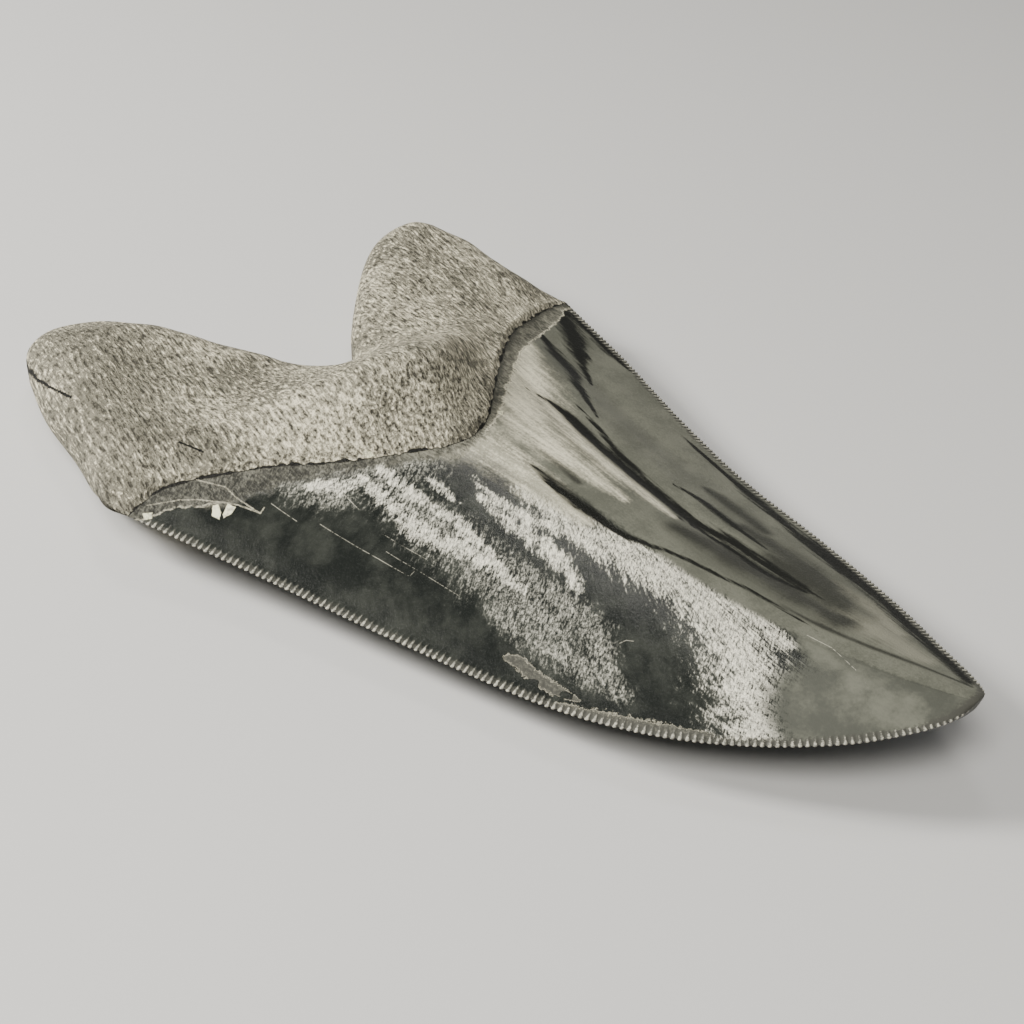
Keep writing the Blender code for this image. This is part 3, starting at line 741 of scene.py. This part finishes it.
# Enamel: near half with its painted sheen, far half, tip patch, cream, dark streaks, flakes,
# scratches with one painted glint, and serrations with painted highlights and painted shade
far_mask = ramp(total(crest_side, (near_feather, 0.15), (speck, 0.15)), -0.5, 0.5)
mottled_lip_face = ramp(total(cloud, (near_feather, 0.3)), -1.8, 1.8)
far_mask = mix_value(upper, mottled_lip_face, far_mask)
fur_place = tooth_node("ShaderNodeMapping", (0, place_in_mm), (2, (0, 0, FUR_TURN))).outputs[0]
fur = noise(fur_place, (1.2, 4.6, 2.0), 2.0, 0.6)
# The silver band is a painted sheen: a painted reflection in the base colour, lifted further by the painted
# glow strokes, with a small real metallic glint from the back lamp on top.
painted_sheen_reach = total(painted_sheen_value, (near_feather, 0.40), (near_streak, 0.25), (fur, 0.15))
painted_glow_reach = total(painted_glow_value, (near_feather, 0.25), (near_streak, 0.15))
painted_sheen_level = ramp(painted_sheen_reach, -0.80, 1.15)
painted_sheen_glow = product(painted_sheen_level, total(PAINTED_SHEEN_GLOW, (near_streak, 0.11)))
painted_glow = calc("MAXIMUM", painted_sheen_glow, ramp(painted_glow_reach, -0.8, 1.0, 0.0, PAINTED_GLOW_LEVEL))
painted_glow_grain = total((fur, 0.42), (near_fleck, 0.28), (spark, 0.16), (speck, 0.18), (near_feather, 0.16))
painted_sheen = total(painted_glow, product(painted_glow_grain, total(0.16, (painted_glow, 0.80))))
near_grain = total(cloud, (near_streak, 0.4), (near_feather, 0.2))
near_base = mix(ramp(near_grain, -0.9, 1.3), CHARCOAL, CHARCOAL_SOFT)
near_tone = mix(ramp(painted_sheen, 0.10, 0.70), near_base, STEEL)
near_tone = mix(ramp(painted_sheen, 0.20, 1.50), near_tone, SILVER)
# The far half's lighter olive grey is partly a painted reflection of the room.
far_tone = mix(ramp(total(cloud, (speck, 0.5)), -1.0, 1.0), OLIVE_GREY, OLIVE_PALE)
# Painted sheen on the far half where the glow strokes lie.
far_tone = mix(ramp(total(painted_glow_value, (far_feather, 0.3), (cloud, 0.2)), -0.4, 0.9), far_tone, OLIVE_SHEEN)
# Painted shade on the far half from the shade strokes.
shade_mask = ramp(total(shade_value, (far_feather, 0.15), (cloud, 0.45), (speck, 0.12)), -0.7, 1.0)
far_tone = mix(shade_mask, far_tone, OLIVE_SHADE)
enamel = mix(far_mask, near_tone, far_tone)
tip_mask = ramp(total(tip_value, (near_feather, 0.14), (fur, 0.10), (speck, 0.04)), -0.15, 0.40)
tip_tone = mix(ramp(total(cloud, (speck, 0.2)), -0.9, 1.1), TIP_OLIVE, OLIVE_PALE)
enamel = mix(product(tip_mask, rest(far_mask)), enamel, tip_tone)
cream_mask = ramp(total(cream_value, (far_feather, 0.22), (cloud, 0.18), (speck, 0.12)), -0.7, 1.1)
cream_grain = total((far_feather, 0.7), (speck, 0.5), (cloud, 0.3), (far_mask, 0.6))
cream_tone = mix(ramp(cream_grain, -0.4, 1.4), CREAM_DULL, CREAM)
enamel = mix(cream_mask, enamel, cream_tone)
dark_mask = ramp(total(dark_value, (far_feather, 0.40), (speck, 0.10)), -0.1, 0.6)
enamel = mix(dark_mask, enamel, DARK_OLIVE)
flake_edge = total(flake_value, (speck, 0.3))
flake_mask = ramp(flake_edge, -0.05, 0.05)
flake_line = product(flake_mask, ramp(flake_edge, 0.25, 0.05, 0.0, 0.4))
flake_hole = ramp(total(gap_to(FLAKE_HOLES), (speck, 0.1)), 0.5, 0.42)
flake_mask = product(flake_mask, rest(flake_hole))
flake_tone = mix(ramp(speck, -0.6, 2.2), FLAKE_GREY, COLLAR_GREY)
enamel = mix(flake_mask, enamel, mix(flake_line, flake_tone, CREAM))
# Scratches, and one painted glint along a crack near the tip, in silver.
scratch_and_glint_gap = total(gap_to(SCRATCHES_AND_GLINT), (speck, 0.03))
scratch_and_glint_fade = ramp(total(speck, (cloud, 0.6)), -0.9, 0.9, 0.0, 0.4)
scratch_and_glint_mask = product(ramp(scratch_and_glint_gap, 0.08, 0.02), scratch_and_glint_fade)
enamel = mix(product(scratch_and_glint_mask, upper), enamel, SILVER)
# Serrations: a painted highlight on each rib and painted shade in the notches between them.
rib_push = total(rib, (near_fleck, 0.16), (speck, 0.16), (blade_gap, -0.42))
rib_highlight_and_shade = mix(ramp(rib_push, 0.25, 0.85), NOTCH_SHADE, mix(ramp(speck, -1.2, 1.0), STEEL, RIB_HIGHLIGHT))
blade_reach = total(blade_gap, (near_fleck, -0.25), (speck, 0.25), (cloud, 0.15), (rib, -0.3))
blade_mask = ramp(blade_reach, 1.25, 0.65)
enamel = mix(product(blade_mask, ramp(length_share, 0.0, 0.02)), enamel, rib_highlight_and_shade)

# Collar, with its pale cracks
collar_noise = noise(place_in_mm, (1.1, 2.2, 1.6), 4.0, 0.65)
collar_wave = noise(place_in_mm, (0.45, 0.45, 0.45), 2.0, 0.5)
collar_grain = total((collar_noise, 0.8), (collar_wave, 0.4), (speck, 0.3))
collar = mix(ramp(collar_grain, -1.0, 1.0), COLLAR_DARK, COLLAR_BROWN)
dusk_grain = total((fur, 0.5), (collar_noise, 0.6), (near_streak, 0.4))
dusk = mix(ramp(dusk_grain, -0.7, 1.0), COLLAR_DUSK, COLLAR_GREY)
collar = mix(ramp(total(crest_side, (collar_wave, 1.5)), -4.0, -9.0), collar, dusk)
pale_gap = total(gap_to(PALE_LINES), (speck, 0.06), (collar_noise, 0.05))
pale_mask = product(ramp(pale_gap, 0.14, 0.04), ramp(collar_noise, -1.0, 0.8, 0.15, 0.65))

# Root, with its flecks and cracks, painted shade on the near lobe and a painted highlight on the bulge
fibre_place = tooth_node("ShaderNodeMapping", (0, place_in_mm), (2, (0, 0, FIBRE_TURN))).outputs[0]
fibre = noise(fibre_place, (0.50, 2.3, 2.0), 3.0, 0.6)
wrinkle = noise(place_in_mm, (1.0, 1.0, 1.0), 3.0, 0.7)
pore = noise(place_in_mm, (2.4, 2.4, 2.4), 2.0, 0.65)
patch = noise(place_in_mm, (0.085, 0.085, 0.085), 3.0, 0.5)
# Painted shade: the shade strokes darken the root's near lobe and thin out its pale flecks there.
root_shade = ramp(total(shade_value, (wrinkle, 0.3), (patch, 0.3)), -0.6, 0.9)
# Painted highlight: the glow strokes brighten the root's bulge by the root line, with more pale flecks.
root_glow = ramp(total(painted_glow_value, (fibre, 0.2), (patch, 0.3)), -0.8, 0.9)
root_tone = mix(ramp(total(patch, (wrinkle, 0.5)), -1.1, 0.9), ROOT_DARK, ROOT_MID)
root_tone = mix(product(root_shade, 0.85), root_tone, ROOT_DARK)
flecks = total((fibre, 0.78), (wrinkle, 0.25), (pore, 0.30))
pale_flecks = ramp(total(flecks, (patch, 0.14), (root_glow, 0.14), (root_shade, -0.30)), -0.02, 0.95)
root_tone = mix(pale_flecks, root_tone, ROOT_PALE)
dark_flecks = ramp(total(flecks, (root_glow, 0.10), (root_shade, -0.10)), -0.10, -0.80)
root_tone = mix(dark_flecks, root_tone, ROOT_PIT)
crack_mask = ramp(total(gap_to(CRACKS), (pore, 0.06), (wrinkle, 0.05)), 0.17, 0.09)
root_tone = mix(product(crack_mask, upper), root_tone, CRACK_AND_SHADE_BLACK)

# Borders between enamel, collar and root, the crevice between them with its painted shade, a
# painted highlight along the collar's edge, and the chips
border_wobble = total((collar_wave, 0.28), (collar_noise, 0.10))
collar_soft = total(collar_line_gap, (near_feather, 0.5), (near_streak, 0.5))
collar_crisp = total(collar_line_gap, border_wobble)
near_fan = product(ramp(crest_side, 0.5, -0.5), ramp(crest_side, -17.5, -14.5))
collar_mask = mix_value(near_fan, ramp(collar_crisp, 0.12, -0.12), ramp(collar_soft, 0.9, -0.9))
root_edge = total(root_line_gap, (border_wobble, 0.9))
root_mask = ramp(root_edge, 0.1, -0.1)
far_collar = ramp(crest_side, 1.0, 4.0)
far_dark = product(far_collar, ramp(total(root_edge, (collar_noise, 0.5)), 1.6, 0.2))
collar = mix(far_dark, collar, COLLAR_DARK)
# Painted highlight: a thin cream line along the collar's edge by the enamel.
collar_rim_highlight = product(ramp(collar_crisp, -0.5, -0.15), ramp(speck, -1.0, 0.6, 0.0, 0.8))
collar = mix(product(collar_rim_highlight, rest(near_fan)), collar, CREAM)
# The crevice at the root line: a black line of painted shade at the foot of the root's step.
crevice_width = ramp(total(collar_wave, (collar_noise, 0.4)), -0.3, 1.2, 0.07, 0.42)
crevice_gap = calc("ABSOLUTE", total(root_edge, (crevice_width, -0.7)), 0.0)
crevice_core = ramp(calc("DIVIDE", crevice_gap, crevice_width), 1.0, 0.5)
crevice_shade_mask = product(crevice_core, ramp(speck, -1.4, -0.2, 0.4, 1.0))
surface = mix(collar_mask, enamel, collar)
surface = mix(root_mask, surface, root_tone)
surface = mix(crevice_shade_mask, surface, CRACK_AND_SHADE_BLACK)
surface = mix(product(pale_mask, upper), surface, CREAM)
chip_gap = FAR_AWAY
for corners in CHIPS:
    chip_gap = calc("MINIMUM", chip_gap, outside(corners))
chip_mask = product(ramp(total(chip_gap, (speck, 0.05)), 0.05, -0.05), upper)
surface = mix(chip_mask, surface, mix(ramp(wrinkle, -1.2, 0.4), CREAM_DULL, CHIP_WHITE))
tree.links.new(surface, shader.inputs["Base Color"])

# Gloss, and the height that the bump reads
far_or_tip = calc("MAXIMUM", far_mask, tip_mask)
enamel_rough = mix_value(painted_sheen_level, ramp(speck, -1.0, 1.0, 0.22, 0.30), SILVER_ROUGH)
enamel_rough = mix_value(far_or_tip, enamel_rough, FAR_ROUGH)
enamel_rough = mix_value(flake_mask, enamel_rough, FLAKE_ROUGH)
rough = mix_value(collar_mask, enamel_rough, COLLAR_ROUGH)
rough = mix_value(root_mask, rough, ROOT_ROUGH)
tree.links.new(rough, shader.inputs["Roughness"])
metal = product(ramp(painted_sheen, 0.6, 1.3, 0.0, SILVER_METAL), rest(far_or_tip))
metal = product(metal, rest(calc("MAXIMUM", collar_mask, root_mask)))
tree.links.new(product(metal, upper), shader.inputs["Metallic"])

fur_height = product(total(fur, (near_fleck, 0.7)), ramp(painted_glow, 0.0, 1.0, 0.005, 0.017))
fur_height = product(fur_height, rest(far_or_tip))
speck_height = ramp(far_mask, 0.0, 1.0, 0.004, 0.012)
enamel_height = total((speck, speck_height), fur_height, (flake_mask, -0.08))
collar_height = total((collar_noise, 0.10), (collar_wave, 0.12))
root_height = total((fibre, 0.16), (wrinkle, 0.16), (pore, 0.08), (crack_mask, -0.5))
height = mix_value(collar_mask, enamel_height, collar_height)
height = mix_value(root_mask, height, root_height)
height = total(height, (crevice_shade_mask, -0.35), (chip_mask, 0.15))
bump = tooth_node("ShaderNodeBump", ("Strength", 1.0), ("Distance", MM), ("Height", height))
tree.links.new(bump.outputs["Normal"], shader.inputs["Normal"])
shader.inputs["IOR"].default_value = ENAMEL_IOR
shader.inputs["Specular IOR Level"].default_value = ENAMEL_GLOSS

mesh.materials.append(material)
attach(tooth, "root")
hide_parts(NODE)

# The floor: a plain sheet of pale matt board that the tooth lies on, wider than the picture.
# It is only there for the render and is no part of the object.
FLOOR_SIZE = 4.0
FLOOR_GREY = (0.55, 0.55, 0.55, 1)
FLOOR_ROUGH = 0.7
bpy.ops.mesh.primitive_plane_add(size=FLOOR_SIZE, location=(0, 0, 0))
floor = bpy.context.object
floor.name = "floor"
floor_material = bpy.data.materials.new("pale_floor")
floor_material.use_nodes = True
floor_shader = floor_material.node_tree.nodes["Principled BSDF"]
floor_shader.inputs["Base Color"].default_value = FLOOR_GREY
floor_shader.inputs["Roughness"].default_value = FLOOR_ROUGH
floor.data.materials.append(floor_material)

# The light: a small weak soft box behind the tooth that glints on the enamel, one low at the
# left that models the root, a wide one over the camera, and an even dim grey room.
TARGET = np.array([-1.77, 1.70, 0.0]) * MM
SOFT_BOXES = [
    ("back_box", (-0.195, 0.20, 0.515), 0.12, 0.5),
    ("side_box", (-0.44, -0.30, 0.34), 0.16, 7.0),
    ("front_box", (0.16, -0.36, 0.52), 0.30, 4.6),
]
ROOM_GREY = (0.17, 0.17, 0.17, 1)
LAMP_WHITE = (1, 0.97, 0.90)


def turn_to(place, aim):
    """Quaternion that points an object's -Z from its place to the aim."""
    return (Vector(aim) - Vector(place)).to_track_quat("-Z", "Y")


for name, place, size, watts in SOFT_BOXES:
    lamp = bpy.data.lights.new(name, "AREA")
    lamp.size = size
    lamp.energy = watts
    lamp.color = LAMP_WHITE
    box = bpy.data.objects.new(name, lamp)
    box.location = place
    box.rotation_mode = "QUATERNION"
    box.rotation_quaternion = turn_to(place, TARGET)
    bpy.context.scene.collection.objects.link(box)
world = bpy.data.worlds.new("room")
world.use_nodes = True
world.node_tree.nodes["Background"].inputs["Color"].default_value = ROOM_GREY
bpy.context.scene.world = world

# The camera stands 300 mm from the tooth, turned to the near side and 34 degrees up, and is
# tilted 6 degrees on its own axis, as the photograph was taken.
CAMERA_TURN, CAMERA_RISE, CAMERA_TILT = (math.radians(angle) for angle in (37.71, 34.0, 6.0))
CAMERA_DISTANCE, CAMERA_CLIP = 0.300, 0.01
CAMERA_LENS, SENSOR_WIDTH = 74.47, 36
back = np.array([math.sin(CAMERA_TURN) * math.cos(CAMERA_RISE),
                 -math.cos(CAMERA_TURN) * math.cos(CAMERA_RISE), math.sin(CAMERA_RISE)])
right = np.array([math.cos(CAMERA_TURN), math.sin(CAMERA_TURN), 0])
up = np.cross(back, right)
tilted_right = math.cos(CAMERA_TILT) * right + math.sin(CAMERA_TILT) * up
tilted_up = math.cos(CAMERA_TILT) * up - math.sin(CAMERA_TILT) * right
camera_data = bpy.data.cameras.new("camera")
camera_data.lens = CAMERA_LENS
camera_data.sensor_width = SENSOR_WIDTH
camera_data.clip_start = CAMERA_CLIP
camera = bpy.data.objects.new("camera", camera_data)
matrix = np.eye(4)
matrix[:3, 0], matrix[:3, 1], matrix[:3, 2] = tilted_right, tilted_up, back
matrix[:3, 3] = TARGET + back * CAMERA_DISTANCE
camera.matrix_world = Matrix(matrix.tolist())
bpy.context.scene.collection.objects.link(camera)
bpy.context.scene.camera = camera

bpy.context.view_layer.update()
